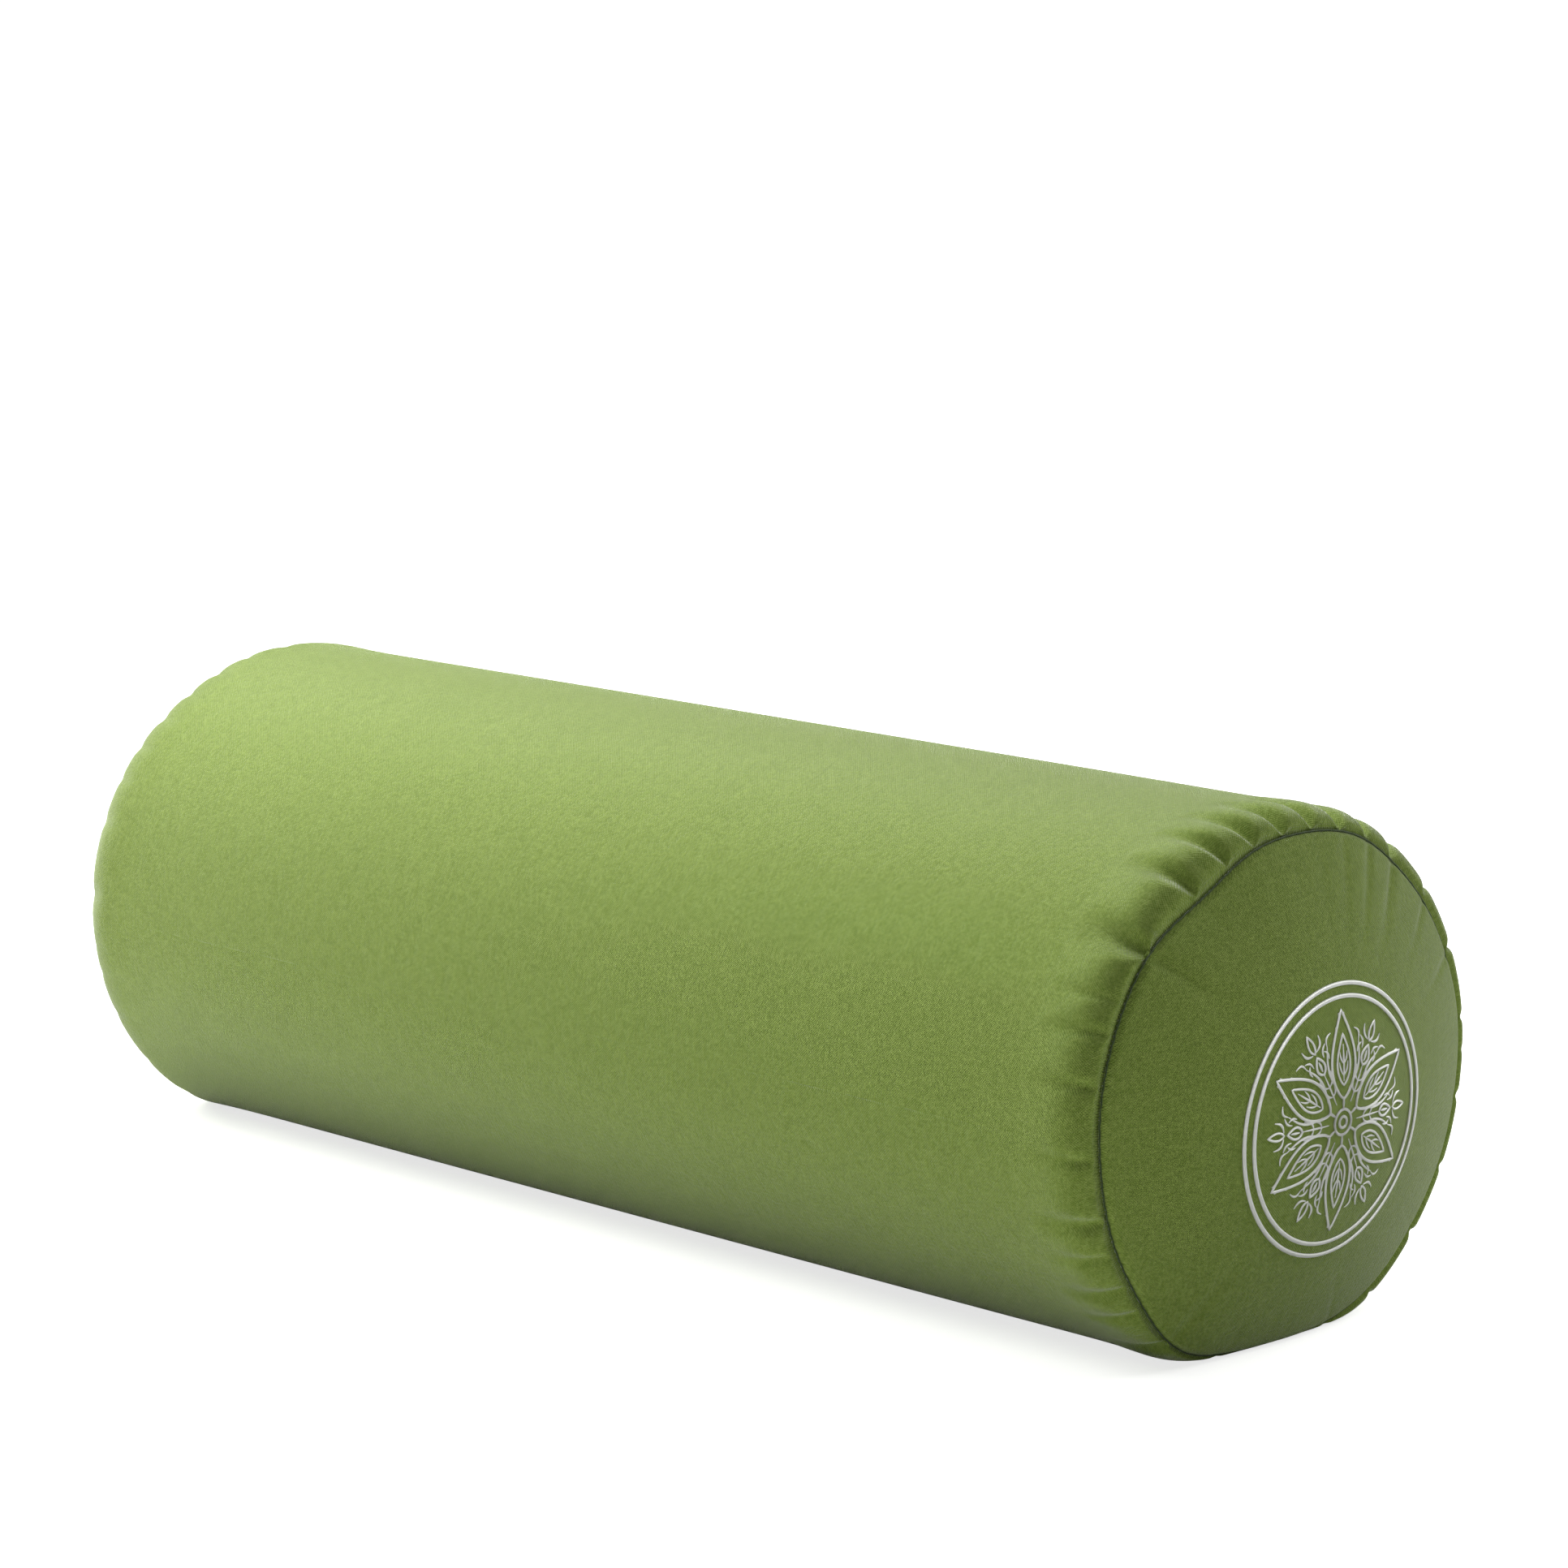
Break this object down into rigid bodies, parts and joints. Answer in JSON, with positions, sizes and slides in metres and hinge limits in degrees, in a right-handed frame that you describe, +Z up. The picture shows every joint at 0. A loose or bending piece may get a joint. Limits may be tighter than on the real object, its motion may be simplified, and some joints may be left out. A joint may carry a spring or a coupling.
{
  "type": "bolster pillow",
  "caption": "Round bolster pillow with domed ends, a washable zipped fabric cover, an embroidered end and a padded foam core.",
  "frame": {"origin": "middle of the underside, on the surface that the bolster lies on", "axes": "+X along the bolster towards the embroidered end, +Y towards the zip at the back, +Z up"},
  "size_m": [0.6511, 0.2337, 0.208],
  "materials": {
    "cover_fabric": "green brushed cotton weave",
    "cover_thread": "dark green sewing thread",
    "silver_thread": "silver-grey satin stitch",
    "backing_fabric": "white stabiliser",
    "zip_tape": "woven green tape",
    "zip_coil": "green nylon coil",
    "slider_metal": "dull nickel",
    "case_cotton": "unbleached cotton",
    "case_thread": "white sewing thread",
    "wadding": "white polyester wadding",
    "foam": "pale yellow foam"
  },
  "bodies": {
    "cushion": {"cover_body_panel": "cover_fabric", "cover_end_panel_front": "cover_fabric", "cover_end_panel_rear": "cover_fabric", "cover_end_seam_front": "cover_thread", "cover_end_seam_rear": "cover_thread", "embroidery_outer_ring": "silver_thread", "embroidery_inner_ring": "silver_thread", "embroidery_rosette": "silver_thread", "embroidery_backing": "backing_fabric", "zip_tape_upper": "zip_tape", "zip_tape_lower": "zip_tape", "zip_coil_upper": "zip_coil", "zip_coil_lower": "zip_coil", "zip_top_stop_upper": "slider_metal", "zip_top_stop_lower": "slider_metal", "zip_bottom_stop": "slider_metal", "zip_topstitch": "cover_thread", "inner_case_body": "case_cotton", "inner_case_end_front": "case_cotton", "inner_case_end_rear": "case_cotton", "inner_case_end_seam_front": "case_thread", "inner_case_end_seam_rear": "case_thread", "inner_case_closing_seam": "case_thread", "wadding_wrap": "wadding", "wadding_pad_front": "wadding", "wadding_pad_rear": "wadding", "foam_core": "foam"},
    "slider": {"zip_slider": "slider_metal"},
    "pull_tab": {"zip_pull_tab": "slider_metal"}
  },
  "joints": [
    {"name": "zip_slide", "type": "slide", "parent": "cushion", "child": "slider", "axis": [1, 0, 0], "range_m": [0, 0.5194]},
    {"name": "pull_tab_hinge", "type": "hinge", "parent": "slider", "child": "pull_tab", "pos_m": [-0.2597, 0.1162, 0.098], "axis": [0, 0, 1], "range_deg": [0, 180]}
  ]
}
